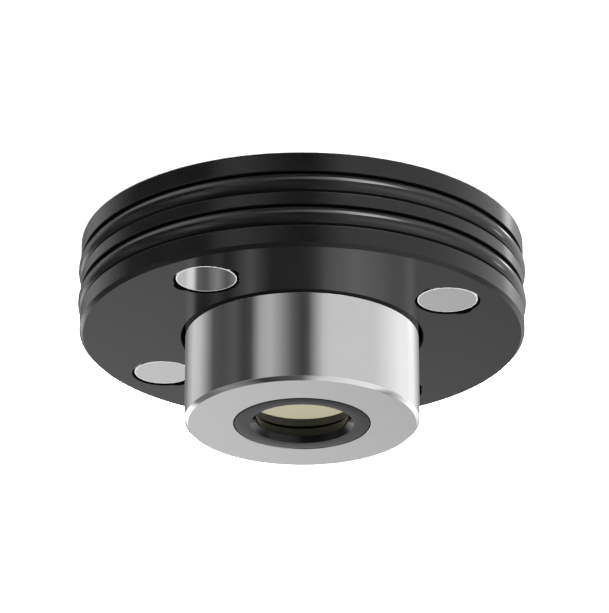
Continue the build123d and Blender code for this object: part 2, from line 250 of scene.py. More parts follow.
def finished_mesh(bm, name):
    """Cleans the mesh, shades it smooth between sharp edges and returns its object."""
    bmesh.ops.remove_doubles(bm, verts=bm.verts, dist=MERGE_DISTANCE)
    bmesh.ops.dissolve_degenerate(bm, edges=bm.edges, dist=DEGENERATE_EDGE)
    bmesh.ops.recalc_face_normals(bm, faces=bm.faces)
    mesh = bpy.data.meshes.new(name)
    bm.to_mesh(mesh)
    bm.free()
    mesh.shade_smooth()
    mesh.set_sharp_from_angle(angle=SHARP_ANGLE)
    piece = bpy.data.objects.new(name, mesh)
    bpy.context.scene.collection.objects.link(piece)
    weighted = piece.modifiers.new("even_normals", "WEIGHTED_NORMAL")
    weighted.keep_sharp = True
    return piece


def turned_piece(name, outline, segments=FINE_SEGMENTS, centre=(0.0, 0.0)):
    """A lathe-turned piece from a closed outline of (radius mm, height mm, corner round mm)."""
    bm = bmesh.new()
    lathe_faces(bm, rounded_outline(outline), segments, closed=True)
    piece = finished_mesh(bm, name)
    piece.location = (centre[0], centre[1], 0.0)
    return piece


def stands_for(piece, node, body, looks):
    """The piece takes a CAD node's place, rides on its body and gets its materials."""
    for look in looks:
        piece.data.materials.append(LOOKS[look])
    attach(piece, body)
    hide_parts(node)


# ------------------------------------------------------------------ material helpers

# The range that holds most of a noise's values.
NOISE_MIDDLE = (0.3, 0.7)


def colour_sockets(sockets):
    return [socket for socket in sockets if socket.type == "RGBA"]


class NodeKit:
    """Short calls for the nodes that this script's materials and world use."""

    def __init__(self, owner):
        owner.use_nodes = True
        self.nodes = owner.node_tree.nodes
        self.links = owner.node_tree.links

    def node(self, kind, **settings):
        made = self.nodes.new(kind)
        for key, value in settings.items():
            setattr(made, key, value)
        return made

    def link(self, source, target):
        self.links.new(source, target)

    def math(self, operation, *values):
        made = self.node("ShaderNodeMath", operation=operation)
        for index, value in enumerate(values):
            if isinstance(value, (int, float)):
                made.inputs[index].default_value = value
            else:
                self.link(value, made.inputs[index])
        return made.outputs[0]

    def map_range(self, value, source, target=(0.0, 1.0), **settings):
        """Maps a value from one (start, end) range to another."""
        made = self.node("ShaderNodeMapRange", **settings)
        made.inputs["From Min"].default_value = source[0]
        made.inputs["From Max"].default_value = source[1]
        made.inputs["To Min"].default_value = target[0]
        made.inputs["To Max"].default_value = target[1]
        self.link(value, made.inputs["Value"])
        return made.outputs[0]


class Look(NodeKit):
    """A principled material."""

    def __init__(self, name):
        self.material = bpy.data.materials.new(name)
        super().__init__(self.material)
        self.shader = self.nodes["Principled BSDF"]

    def place_mm(self):
        """The object's own coordinates in millimetres."""
        coordinates = self.node("ShaderNodeTexCoord")
        scale = self.node("ShaderNodeVectorMath", operation="SCALE")
        scale.inputs["Scale"].default_value = 1 / MM
        self.link(coordinates.outputs["Object"], scale.inputs[0])
        return scale.outputs[0]

    def lathe_place(self, across, along):
        """Coordinates that change fast across the tool marks and slowly round the axis."""
        split = self.node("ShaderNodeSeparateXYZ")
        self.link(self.place_mm(), split.inputs[0])
        x, y, z = split.outputs
        squares = self.math("ADD", self.math("MULTIPLY", x, x), self.math("MULTIPLY", y, y))
        radius = self.math("SQRT", squares)
        angle = self.math("ARCTAN2", y, x)
        join = self.node("ShaderNodeCombineXYZ")
        self.link(self.math("MULTIPLY", radius, across), join.inputs[0])
        self.link(self.math("MULTIPLY", z, across), join.inputs[1])
        self.link(self.math("MULTIPLY", self.math("SINE", angle), along), join.inputs[2])
        return join.outputs[0]

    def noise(self, place, scale, detail=3.0, roughness=0.5):
        made = self.node("ShaderNodeTexNoise")
        made.inputs["Scale"].default_value = scale
        made.inputs["Detail"].default_value = detail
        made.inputs["Roughness"].default_value = roughness
        self.link(place, made.inputs["Vector"])
        return made.outputs[0]

    def spread(self, value, low, high):
        """Maps the middle of a noise's values to a range of numbers."""
        return self.map_range(value, NOISE_MIDDLE, (low, high))

    def blend_colours(self, share, first, second):
        made = self.node("ShaderNodeMix", data_type="RGBA")
        first_socket, second_socket = colour_sockets(made.inputs)
        first_socket.default_value = (*first, 1.0)
        second_socket.default_value = (*second, 1.0)
        self.link(share, made.inputs[0])
        return colour_sockets(made.outputs)[0]

    def colour(self, value):
        self.link(value, self.shader.inputs["Base Color"])

    def roughness(self, value):
        self.link(value, self.shader.inputs["Roughness"])

    def bump(self, height, distance_mm):
        made = self.node("ShaderNodeBump")
        made.inputs["Distance"].default_value = distance_mm * MM
        self.link(height, made.inputs["Height"])
        self.link(made.outputs[0], self.shader.inputs["Normal"])

    def constant(self, **values):
        """Values that are the same all over the surface sit on the shader's own sockets."""
        for name, value in values.items():
            self.shader.inputs[name.replace("_", " ")].default_value = value


def scaled(colour, factor):
    return tuple(min(1.0, channel * factor) for channel in colour)


def anodised(name, colour, roughness, mark_depth=0.0006, gloss=0.5):
    """Anodised aluminium: a dark dyed skin over fine lathe marks, a little cloudy."""
    look = Look(name)
    look.constant(Metallic=0.0, IOR=1.5, Specular_IOR_Level=gloss)
    marks = look.noise(look.lathe_place(across=14.0, along=2.0), scale=1.0, detail=2.0)
    clouds = look.noise(look.place_mm(), scale=0.16, detail=4.0)
    specks = look.noise(look.place_mm(), scale=9.0, detail=2.0)
    look.colour(look.blend_colours(clouds, scaled(colour, 0.88), scaled(colour, 1.12)))
    worn = look.math("ADD", look.spread(clouds, -0.02, 0.02), look.spread(specks, -0.012, 0.012))
    look.roughness(look.math("ADD", worn, roughness))
    look.bump(marks, mark_depth)
    return look.material


def turned_metal(name, colour, roughness, mark_depth):
    """Bare turned metal: round tool marks, faint stains and a roughness that wanders."""
    look = Look(name)
    look.constant(Metallic=1.0)
    marks = look.noise(look.lathe_place(across=16.0, along=1.5), scale=1.0, detail=3.0)
    stains = look.noise(look.place_mm(), scale=0.22, detail=5.0, roughness=0.6)
    look.colour(look.blend_colours(stains, scaled(colour, 0.95), scaled(colour, 1.05)))
    wander = look.math("ADD", look.spread(stains, -0.02, 0.03), look.spread(marks, -0.02, 0.02))
    look.roughness(look.math("ADD", wander, roughness))
    look.bump(marks, mark_depth)
    return look.material


def plated_metal(name, colour, roughness):
    """Bright plating: almost a mirror, with faint orange peel and hair scratches."""
    look = Look(name)
    look.constant(Metallic=1.0)
    peel = look.noise(look.place_mm(), scale=1.4, detail=2.0)
    scratches = look.noise(look.place_mm(), scale=30.0, detail=1.0)
    look.colour(look.blend_colours(peel, scaled(colour, 0.96), scaled(colour, 1.03)))
    look.roughness(look.spread(scratches, roughness * 0.7, roughness * 1.5))
    look.bump(peel, distance_mm=0.0012)
    return look.material


def painted_highlight_edge(name, colour, roughness):
    """Painted highlight on a thin edge: a pale, rough colour that scatters light from all round, with a
    faint mottle.
    """
    look = Look(name)
    look.constant(Metallic=0.2, IOR=1.8)
    highlight_mottle = look.noise(look.place_mm(), scale=2.5, detail=3.0)
    look.colour(look.blend_colours(highlight_mottle, scaled(colour, 0.75), scaled(colour, 1.25)))
    look.roughness(look.spread(highlight_mottle, roughness * 0.8, roughness * 1.2))
    look.bump(highlight_mottle, distance_mm=0.001)
    return look.material


def rubber(name, colour, roughness):
    """Moulded rubber: near black, a soft sheen and a faint grain."""
    look = Look(name)
    look.constant(Metallic=0.0, IOR=1.5)
    grain = look.noise(look.place_mm(), scale=12.0, detail=3.0)
    patches = look.noise(look.place_mm(), scale=0.35, detail=3.0)
    look.colour(look.blend_colours(patches, scaled(colour, 0.8), scaled(colour, 1.25)))
    wander = look.math("ADD", look.spread(patches, -0.02, 0.02), look.spread(grain, -0.015, 0.015))
    look.roughness(look.math("ADD", wander, roughness))
    look.bump(grain, distance_mm=0.0005)
    return look.material


def shaded(name, colour, gloss):
    """Painted shade for a surface deep in a groove or gap: a near-black colour with no gloss stands in for
    the shade there, over a faint grain.
    """
    look = Look(name)
    look.constant(Metallic=0.0, IOR=1.5, Specular_IOR_Level=gloss)
    grain = look.noise(look.place_mm(), scale=6.0, detail=3.0)
    look.colour(look.blend_colours(grain, scaled(colour, 0.7), scaled(colour, 1.4)))
    look.roughness(look.spread(grain, 0.5, 0.7))
    look.bump(grain, distance_mm=0.001)
    return look.material


def moulded(name, colour, roughness, grain_scale=8.0):
    """Moulded plastic or resin: fine texture, slight colour drift."""
    look = Look(name)
    look.constant(Metallic=0.0, IOR=1.48)
    grain = look.noise(look.place_mm(), scale=grain_scale, detail=4.0)
    drift = look.noise(look.place_mm(), scale=0.4, detail=2.0)
    look.colour(look.blend_colours(drift, scaled(colour, 0.88), scaled(colour, 1.12)))
    look.roughness(look.math("ADD", look.spread(grain, -0.05, 0.05), roughness))
    look.bump(grain, distance_mm=0.004)
    return look.material


def laminate(name, colour):
    """Circuit board: solder mask over a faint glass weave."""
    look = Look(name)
    look.constant(Metallic=0.0, IOR=1.52)
    split = look.node("ShaderNodeSeparateXYZ")
    look.link(look.place_mm(), split.inputs[0])
    warp = look.math("SINE", look.math("MULTIPLY", split.outputs[0], 12.0))
    weft = look.math("SINE", look.math("MULTIPLY", split.outputs[1], 12.0))
    weave = look.math("MULTIPLY", warp, weft)
    mottle = look.noise(look.place_mm(), scale=0.8, detail=4.0)
    look.colour(look.blend_colours(mottle, scaled(colour, 0.8), scaled(colour, 1.2)))
    look.roughness(look.spread(mottle, 0.25, 0.4))
    look.bump(weave, distance_mm=0.003)
    return look.material


def coated_glass(name, colour):
    """Optical glass whose coating glows a pale cream in the light, under a clear gloss."""
    look = Look(name)
    look.constant(Metallic=0.0, IOR=1.5, Coat_Weight=1.0, Coat_Roughness=0.03)
    film = look.noise(look.place_mm(), scale=0.12, detail=2.0)
    dust = look.noise(look.place_mm(), scale=22.0, detail=1.0)
    look.colour(look.blend_colours(film, scaled(colour, 0.97), scaled(colour, 1.03)))
    look.roughness(look.spread(dust, 0.3, 0.4))
    look.bump(film, distance_mm=0.0005)
    return look.material


def clear_glass(name, colour):
    """The module's own small lens."""
    look = Look(name)
    look.constant(Metallic=0.0, IOR=1.5, Transmission_Weight=0.9)
    film = look.noise(look.place_mm(), scale=0.5, detail=2.0)
    look.colour(look.blend_colours(film, scaled(colour, 0.97), scaled(colour, 1.02)))
    look.roughness(look.spread(film, 0.01, 0.04))
    return look.material


def floor_look():
    """Pale, faintly mottled studio paper."""
    look = Look("studio_paper")
    look.constant(Metallic=0.0, IOR=1.4)
    fibres = look.noise(look.place_mm(), scale=0.8, detail=4.0)
    look.colour(look.blend_colours(fibres, (0.93, 0.93, 0.93), (0.96, 0.96, 0.96)))
    look.roughness(look.spread(fibres, 0.85, 0.95))
    look.bump(fibres, distance_mm=0.02)
    return look.material


LOOKS = {
    "black_anodised": anodised("black_anodised", (0.004, 0.004, 0.0042), roughness=0.13, gloss=0.52),
    "face_black": anodised("face_black", (0.0012, 0.0012, 0.0013), roughness=0.13, gloss=0.36),
    # A dimmer, less glossy copy of the anodised look for the flange's front chamfer: painted shade.
    "chamfer_black_painted_shade": anodised("chamfer_black_painted_shade", (0.003, 0.003, 0.0031), roughness=0.13, gloss=0.4),
    # The next four looks are painted shade: near-black colours stand in for the shade in recesses, grooves,
    # the O-rings' flanks and the nose's root.
    "recess_painted_shade": shaded("recess_painted_shade", (0.003, 0.003, 0.003), gloss=0.0),
    "groove_painted_shade": shaded("groove_painted_shade", (0.011, 0.011, 0.011), gloss=0.0),
    "rubber_painted_groove_shade": shaded("rubber_painted_groove_shade", (0.009, 0.009, 0.009), gloss=0.0),
    "steel_in_shade": shaded("steel_in_shade", (0.004, 0.004, 0.004), gloss=0.15),
    "black_cover": anodised("black_cover", (0.008, 0.008, 0.0085), roughness=0.24, mark_depth=0.0012),
    "black_cap": anodised("black_cap", (0.01, 0.01, 0.0105), roughness=0.28, mark_depth=0.0016),
    "black_cell": anodised(
        "black_cell", (0.0012, 0.0012, 0.0013), roughness=0.14, mark_depth=0.0008, gloss=0.33
    ),
    "gloss_black": anodised("gloss_black", (0.004, 0.004, 0.0035), roughness=0.1),
    "polished_steel": turned_metal(
        "polished_steel", (0.72, 0.72, 0.72), roughness=0.1, mark_depth=0.0005
    ),
    # A brighter, smoother copy of the polished steel for the nose's end chamfer: painted highlight.
    "chamfer_steel_painted_highlight": turned_metal("chamfer_steel_painted_highlight", (0.9, 0.9, 0.9), roughness=0.08, mark_depth=0.0005),
    "magnet_plating": plated_metal("magnet_plating", (0.74, 0.74, 0.745), roughness=0.05),
    # A pale, rough look for the magnets' top edges: painted highlight.
    "plating_edge_painted_highlight": painted_highlight_edge("plating_edge_painted_highlight", (0.32, 0.32, 0.32), roughness=0.3),
    "o_ring_rubber": rubber("o_ring_rubber", (0.0035, 0.0035, 0.0035), roughness=0.05),
    "soft_rubber": rubber("soft_rubber", (0.02, 0.02, 0.02), roughness=0.6),
    "coated_glass": coated_glass("coated_glass", (0.19, 0.18, 0.1265)),
    "clear_lens": clear_glass("clear_lens", (0.92, 0.95, 0.97)),
    "brass": turned_metal("brass", (0.78, 0.57, 0.27), roughness=0.22, mark_depth=0.002),
    "diode_can": turned_metal("diode_can", (0.86, 0.68, 0.36), roughness=0.16, mark_depth=0.001),
    "spring_steel": turned_metal("spring_steel", (0.55, 0.55, 0.57), roughness=0.25, mark_depth=0.001),
    "screw_steel": turned_metal("screw_steel", (0.07, 0.07, 0.075), roughness=0.36, mark_depth=0.003),
    "adjuster_steel": turned_metal(
        "adjuster_steel", (0.55, 0.55, 0.57), roughness=0.26, mark_depth=0.003
    ),
    "battery_steel": plated_metal("battery_steel", (0.66, 0.66, 0.67), roughness=0.2),
    "contact_plating": plated_metal("contact_plating", (0.85, 0.66, 0.34), roughness=0.22),
    "holder_plastic": moulded("holder_plastic", (0.03, 0.03, 0.032), roughness=0.5),
    "board_laminate": laminate("board_laminate", (0.02, 0.14, 0.06)),
    "chip_resin": moulded("chip_resin", (0.02, 0.02, 0.022), roughness=0.55, grain_scale=14.0),
    "capacitor_ceramic": moulded(
        "capacitor_ceramic", (0.5, 0.36, 0.22), roughness=0.4, grain_scale=10.0
    ),
    "switch_plastic": moulded("switch_plastic", (0.08, 0.08, 0.085), roughness=0.45),
    "button_plastic": moulded("button_plastic", (0.38, 0.018, 0.016), roughness=0.38),
    "red_insulation": moulded("red_insulation", (0.5, 0.02, 0.02), roughness=0.4),
    "black_insulation": moulded("black_insulation", (0.02, 0.02, 0.02), roughness=0.4),
}
SLOT_OF = {row["node"]: row["material_slot"] for row in frame["record"]["subparts"]}


def dress_cad_nodes():
    """Every CAD node gets its slot's material; the ones that are replaced are hidden later."""
    for name, node in frame["nodes"].items():
        node.data.materials.clear()
        node.data.materials.append(LOOKS[SLOT_OF[name]])


# ------------------------------------------------------------------ the flange

# The recess, groove and chamfer looks are painted shade.
FLANGE_LOOKS = ("black_anodised", "face_black", "recess_painted_shade", "groove_painted_shade", "chamfer_black_painted_shade")


def flange_look(face):
    """The look of a face of the flange: rim, flat face, front chamfer (a dimmer copy of the rim's look,
    painted shade), and painted shade in the recess, bore, pockets and O-ring grooves.
    """
    middle = face.calc_center_median() / MM
    radius = math.hypot(middle.x, middle.y)
    on_front = middle.z > face_height / MM - TOUCH
    on_rear = middle.z < TOUCH and radius > RECESS_RADIUS
    if abs(face.normal.z) > FLAT_NORMAL and (on_front or on_rear):
        return "face_black"
    if radius > flange_radius / MM - REAR_CHAMFER:
        return "black_anodised"
    near_front = middle.z > face_height / MM - RIM_CHAMFER
    # The front chamfer gets the dimmer copy of the anodised look, painted shade.
    if near_front and radius > flange_radius / MM - RIM_CHAMFER:
        return "chamfer_black_painted_shade"
    # Groove walls and floors get painted shade; the recess, bore and pockets get painted shade too.
    in_groove = radius > GROOVE_FLOOR - USUAL_EDGE and middle.z > REAR_CHAMFER
    return "groove_painted_shade" if in_groove and not near_front else "recess_painted_shade"


def pocket_outline(grow):
    """A magnet pocket's (x, y) outline in mm: a circle with a notch on two sides."""
    points = []
    for index in range(POCKET_SEGMENTS):
        angle = math.tau * index / POCKET_SEGMENTS
        side = NOTCH_OFFSET * abs(math.sin(angle))
        across = NOTCH_OFFSET * math.cos(angle)
        reach = POCKET_RADIUS
        if abs(across) < NOTCH_RADIUS:
            reach = max(reach, side + math.sqrt(NOTCH_RADIUS**2 - across**2))
        reach += grow
        points.append((reach * math.cos(angle), reach * math.sin(angle)))
    return points


def ring_of_verts(bm, outline, height, centre, turn):
    """A closed ring of vertices of an outline in mm, turned and moved to a centre in metres."""
    ring = []
    for x, y in outline:
        place = Matrix.Rotation(turn, 3, "Z") @ Vector((x * MM, y * MM, 0.0))
        ring.append(bm.verts.new((place.x + centre.x, place.y + centre.y, height * MM)))
    return ring


def join_rings(bm, lower, upper):
    count = len(lower)
    for index in range(count):
        following = (index + 1) % count
        bm.faces.new((lower[index], lower[following], upper[following], upper[index]))


def ring_edges(bm, ring):
    count = len(ring)
    edges = []
    for index in range(count):
        pair = (ring[index], ring[(index + 1) % count])
        edges.append(bm.edges.get(pair) or bm.edges.new(pair))
    return edges


def magnet_centres():
    centres = []
    for node in MAGNET_NODES:
        low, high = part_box(node)
        centres.append((low + high) / 2)
    return centres


def flange_piece():
    """The flange: a turned rim and recess, and a front face with the four magnet pockets."""
    front = face_height / MM
    rim = flange_radius / MM
    edge = USUAL_EDGE
    groove_top = front - FRONT_LAND
    second_top = groove_top - GROOVE_WIDTH - MIDDLE_LAND
    outline = [
        (rim - RIM_CHAMFER, front, 0),
        (rim, front - RIM_CHAMFER, FINE_EDGE),
        (rim, groove_top, edge),
        (GROOVE_FLOOR, groove_top, edge),
        (GROOVE_FLOOR, groove_top - GROOVE_WIDTH, edge),
        (rim, groove_top - GROOVE_WIDTH, edge),
        (rim, second_top, edge),
        (GROOVE_FLOOR, second_top, edge),
        (GROOVE_FLOOR, second_top - GROOVE_WIDTH, edge),
        (rim, second_top - GROOVE_WIDTH, edge),
        (rim, REAR_CHAMFER, FINE_EDGE),
        (rim - REAR_CHAMFER, 0, FINE_EDGE),
        (RECESS_RADIUS, 0, edge),
        (RECESS_RADIUS, RECESS_DEPTH, edge),
        (BORE_RADIUS, RECESS_DEPTH, edge),
        (BORE_RADIUS, front - BORE_CHAMFER, FINE_EDGE),
        (BORE_RADIUS + BORE_CHAMFER, front, 0),
    ]
    bm = bmesh.new()
    rings = lathe_faces(bm, rounded_outline(outline, closed=False), FINE_SEGMENTS, closed=False)
    borders = ring_edges(bm, rings[0]) + ring_edges(bm, rings[-1])
    for centre in magnet_centres():
        turn = math.atan2(centre.y, centre.x)
        top = ring_of_verts(bm, pocket_outline(POCKET_EDGE), front, centre, turn)
        wall = ring_of_verts(bm, pocket_outline(0), front - POCKET_EDGE, centre, turn)
        floor = ring_of_verts(bm, pocket_outline(0), front - POCKET_DEPTH, centre, turn)
        join_rings(bm, top, wall)
        join_rings(bm, wall, floor)
        bm.faces.new(floor)
        borders += ring_edges(bm, top)
    bmesh.ops.triangle_fill(bm, edges=borders, use_beauty=True, use_dissolve=False)
    bm.normal_update()
    for face in bm.faces:
        face.material_index = FLANGE_LOOKS.index(flange_look(face))
    return finished_mesh(bm, "flange_shell")


# ------------------------------------------------------------------ rings, magnets, nose, window


O_RING_LOOKS = ("o_ring_rubber", "rubber_painted_groove_shade")
# The part of an O-ring's section that keeps the plain rubber look, from its middle plane; outside it the
# flanks get painted shade for the groove's shade.
CLEAR_FROM = math.radians(-35)
CLEAR_TO = math.radians(50)


def o_ring_piece(node):
    """A rubber ring; its flanks, down in the groove, get painted shade."""
    low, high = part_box(node)
    section = (high.z - low.z) / 2
    centre_radius = radius_of(node) - section
    middle_height = (low.z + high.z) / 2
    bm = bmesh.new()
    points = []
    for index in range(O_RING_STEPS):
        angle = math.tau * index / O_RING_STEPS
        radius = centre_radius + section * math.cos(angle)
        height = middle_height + section * math.sin(angle)
        points.append((radius / MM, height / MM))
    lathe_faces(bm, points, FINE_SEGMENTS, closed=True)
    for face in bm.faces:
        middle = face.calc_center_median()
        outward = math.hypot(middle.x, middle.y) - centre_radius
        angle = math.atan2(middle.z - middle_height, outward)
        # Faces outside the clear part of the section get the painted shade look.
        face.material_index = int(not CLEAR_FROM < angle < CLEAR_TO)
    return finished_mesh(bm, node + "_rubber")


MAGNET_LOOKS = ("magnet_plating", "plating_edge_painted_highlight")


def magnet_piece(node):
    """A plated disc; its rounded upper edge gets a painted highlight, a pale rim line."""
    low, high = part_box(node)
    radius = radius_of(node) / MM
    bottom, top = low.z / MM, high.z / MM
    outline = [
        (0, bottom, 0),
        (radius, bottom, MAGNET_ROUND),
        (radius, top, MAGNET_ROUND),
        (radius - MAGNET_EDGE, top, 0),
        (0, top, 0),
    ]
    middle = (low + high) / 2
    piece = turned_piece(node + "_disc", outline, SMALL_SEGMENTS, (middle.x, middle.y))
    for face in piece.data.polygons:
        reach = math.hypot(face.center.x, face.center.y) / MM
        on_edge = reach > radius - MAGNET_EDGE and face.center.z > high.z - MAGNET_ROUND * MM
        # Faces on the rounded top edge get the painted highlight.
        face.material_index = int(on_edge)
    return piece


def tilt_ring_half(name, front):
    """Half of the rubber ring between the flange and the laser head, cut at its middle plane."""
    low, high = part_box("tilt_ring")
    section = (high.z - low.z) / 2 / MM
    centre_radius = radius_of("tilt_ring") / MM - section
    middle_height = (low.z + high.z) / 2 / MM
    side = 1 if front else -1
    outline = []
    for index in range(TILT_RING_STEPS + 1):
        angle = math.pi * index / TILT_RING_STEPS
        radius = centre_radius + (section - TILT_RING_GAP) * math.cos(angle)
        height = middle_height + side * (section - TILT_RING_GAP) * math.sin(angle)
        outline.append((radius, height, 0))
    return turned_piece(name, outline)


def build_tilt_ring():
    """As the head tilts, each half bends between the body that it touches and the ring's own body."""
    low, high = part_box("tilt_ring")
    middle = (0, 0, (low.z + high.z) / 2)
    front_half = tilt_ring_half("tilt_ring_front_half", front=True)
    rear_half = tilt_ring_half("tilt_ring_rear_half", front=False)
    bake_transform(front_half, "flange", "tilt_ring", start=(0, 0, high.z), end=middle)
    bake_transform(rear_half, "tilt_ring", "laser_head", start=middle, end=(0, 0, low.z))
    for half in (front_half, rear_half):
        half.data.materials.append(LOOKS["soft_rubber"])
        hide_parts("tilt_ring")


BARREL_LOOKS = ("polished_steel", "steel_in_shade", "chamfer_steel_painted_highlight")


def barrel_piece():
    """The nose barrel. Its root, in the flange's bore, gets painted shade; its end chamfer gets a brighter
    copy of the steel, a painted highlight.
    """
    bottom, top = collar_low / MM, nose_top / MM
    root_top = face_height / MM + ROOT_HEIGHT
    collar_radius = radius_of("laser_barrel") / MM
    edge = USUAL_EDGE
    outline = [
        (BARREL_REAR_BORE, bottom, edge),
        (collar_radius, bottom, edge),
        (collar_radius, COLLAR_TOP, edge),
        (NOSE_RADIUS - ROOT_DEPTH, COLLAR_TOP, edge),
        (NOSE_RADIUS - ROOT_DEPTH, root_top, 0),
        (NOSE_RADIUS, root_top, HAIR_EDGE),
        (NOSE_RADIUS, top - NOSE_CHAMFER, NOSE_EDGE),
        (NOSE_RADIUS - NOSE_CHAMFER, top, NOSE_EDGE),
        (CELL_BORE, top, edge),
        (CELL_BORE, CELL_FLOOR, edge),
        (MODULE_BORE, CELL_FLOOR, edge),
        (MODULE_BORE, MODULE_SHOULDER, edge),
        (CLAMP_BORE, MODULE_SHOULDER, edge),
        (CLAMP_BORE, BARREL_STEP, edge),
        (BARREL_REAR_BORE, BARREL_STEP, edge),
    ]
    piece = turned_piece("nose_barrel", outline)
    for face in piece.data.polygons:
        radius = math.hypot(face.center.x, face.center.y) / MM
        height = face.center.z / MM
        if radius > BARREL_SHADE_RADIUS and height < root_top + TOUCH:
            face.material_index = BARREL_LOOKS.index("steel_in_shade")
        # The end chamfer gets the brighter copy of the steel: painted highlight.
        if radius > NOSE_RADIUS - NOSE_CHAMFER and height > top - NOSE_CHAMFER:
            face.material_index = BARREL_LOOKS.index("chamfer_steel_painted_highlight")
    return piece


def cell_piece():
    """The black ring that holds the window; its chamfered lip ends flush with the nose."""
    top = nose_top / MM
    edge = USUAL_EDGE
    outline = [
        (CELL_INNER, CELL_FLOOR, 0),
        (CELL_THREAD_RADIUS, CELL_FLOOR, edge),
        (CELL_THREAD_RADIUS, CELL_THREAD_TOP, edge),
        (CELL_RADIUS, CELL_THREAD_TOP, edge),
        (CELL_RADIUS, top, edge),
        (LIP_BORE + LIP_CHAMFER, top, LIP_EDGE),
        (LIP_BORE, top - LIP_CHAMFER, edge),
        (LIP_BORE, top - LIP_THICKNESS, edge),
        (CELL_INNER, top - LIP_THICKNESS, 0),
    ]
    return turned_piece("window_cell_ring", outline)


SPACER_LOOKS = ("gloss_black", "recess_painted_shade")


def spacer_piece():
    """The tube between the window and the lip; the end under the lip lies in its shade."""
    low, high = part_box("window_spacer")
    bottom, top = low.z / MM, high.z / MM
    outer = radius_of("window_spacer") / MM
    outline = [
        (SPACER_BORE, bottom, HAIR_EDGE),
        (outer, bottom, HAIR_EDGE),
        (outer, top, HAIR_EDGE),
        (SPACER_BORE, top, HAIR_EDGE),
        (SPACER_BORE, top - LIP_SHADE, 0),
    ]
    piece = turned_piece("window_spacer_tube", outline)
    for face in piece.data.polygons:
        face.material_index = int(face.center.z > high.z - LIP_SHADE * MM)
    return piece


def window_piece():
    """The window, a glass disc with a ground bevel round both faces."""
    low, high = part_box("front_window")
    bottom, top = low.z / MM, high.z / MM
    outer = radius_of("front_window") / MM
    outline = [
        (0, bottom, 0),
        (outer - WINDOW_BEVEL, bottom, 0),
        (outer, bottom + WINDOW_BEVEL, 0),
        (outer, top - WINDOW_BEVEL, 0),
        (outer - WINDOW_BEVEL, top, 0),
        (0, top, 0),
    ]
    return turned_piece("window_glass", outline)


def build_visible_pieces():
    shell = flange_piece()
    stands_for(shell, "flange_body", "flange", FLANGE_LOOKS)
    for node in ("front_o_ring", "rear_o_ring"):
        stands_for(o_ring_piece(node), node, "flange", O_RING_LOOKS)
    for node in MAGNET_NODES:
        stands_for(magnet_piece(node), node, "flange", MAGNET_LOOKS)
    head = "laser_head"
    stands_for(barrel_piece(), "laser_barrel", head, BARREL_LOOKS)
    stands_for(cell_piece(), "window_cell", head, ["black_cell"])
    stands_for(spacer_piece(), "window_spacer", head, SPACER_LOOKS)
    stands_for(window_piece(), "front_window", head, ["coated_glass"])
    build_tilt_ring()


# ------------------------------------------------------------------ studio


# Upright bands of light as (azimuth in degrees, brightness). Azimuth is counted from the
# camera's side (-Y) towards -X. Each list is the studio as seen at one elevation.
DOWN_BANDS = [
    (-180, 0.02),
    (-146, 0.02),
    (-132, 0.40),
    (-120, 0.90),
    (-83, 1.30),
    (-58, 0.90),
    (-30, 0.45),
    (0, 1.2),
    (20, 2.8),
    (30, 6.0),
    (54, 6.5),
    (64, 1.6),
    (80, 1.0),
    (100, 0.9),
    (113, 0.6),
    (129, 0.42),
    (144, 0.24),
    (159, 0.08),
    (180, 0.02),
]
LOW_BANDS = [
    (-180, 0.28),
    (-160, 0.20),
    (-150, 0.42),
    (-134, 0.76),
    (-120, 0.68),
    (-110, 0.42),
    (-98, 0.11),
    (-84, 0.085),
    (-70, 0.115),
    (-60, 0.06),
    (-51, 0.07),
    (-41, 0.48),
    (-31, 0.56),
    (-20, 0.34),
    (-10, 0.14),
    (0, 0.06),
    (6, 0.08),
    (20, 0.66),
    (27, 0.75),
    (75, 0.76),
    (112, 1.15),
    (126, 1.15),
    (140, 1.20),
    (152, 0.70),
    (165, 0.35),
    (180, 0.28),
]
HIGH_BANDS = [
    (-180, 0.68),
    (-174, 0.86),
    (-156, 1.15),
    (-139, 1.30),
    (-128, 0.20),
    (-110, 0.13),
    (-92, 0.40),
    (-79, 0.12),
    (-66, 0.48),
    (-52, 1.00),
    (-42, 0.50),
    (-31, 0.16),
    (6, 0.20),
    (16, 0.42),
    (24, 0.90),
    (54, 1.45),
    (78, 1.15),
    (98, 0.84),
    (120, 0.95),
    (136, 1.30),
    (150, 0.95),
    (166, 0.52),
    (174, 0.50),
    (180, 0.68),
]
TOP_BANDS = [
    (-180, 0.10),
    (-150, 0.50),
    (-120, 0.12),
    (-96, 0.26),
    (-78, 0.16),
    (-58, 0.035),
    (0, 0.10),
    (12, 0.32),
    (30, 0.62),
    (60, 0.76),
    (97, 0.88),
    (110, 0.09),
    (124, 0.18),
    (150, 0.55),
    (180, 0.10),
]
# Small lamps: azimuth, elevation, half widths in both (degrees), brightness.
SMALL_LAMPS = [
    (113, 4, 8, 10, 3.2),
    (135, -29, 9, 6, 6.0),
    (38, -42, 16, 7, 6.8),
    (-144, 2, 16, 9, 0.9),
]
NADIR_LEVEL = 0.08
# Two dark cards low behind the object: azimuths and elevations over which they fade in.
LEFT_CARD_FROM = (-134, -146)
RIGHT_CARD_FROM = (142, 158)
CARD_BELOW = (-25, -30)
CARD_LEVEL = 0.01
# Elevations in degrees over which one list gives way to the next.
NADIR_TO_DOWN = (-78, -60)
DOWN_TO_LOW = (-38, -33)
LOW_TO_HIGH = (-12, 4)
HIGH_TO_TOP = (20, 46)


# From the nadir up, each layer of the studio fades into the next.
LAYERS = (
    (NADIR_TO_DOWN, DOWN_BANDS),
    (DOWN_TO_LOW, LOW_BANDS),
    (LOW_TO_HIGH, HIGH_BANDS),
    (HIGH_TO_TOP, TOP_BANDS),
)


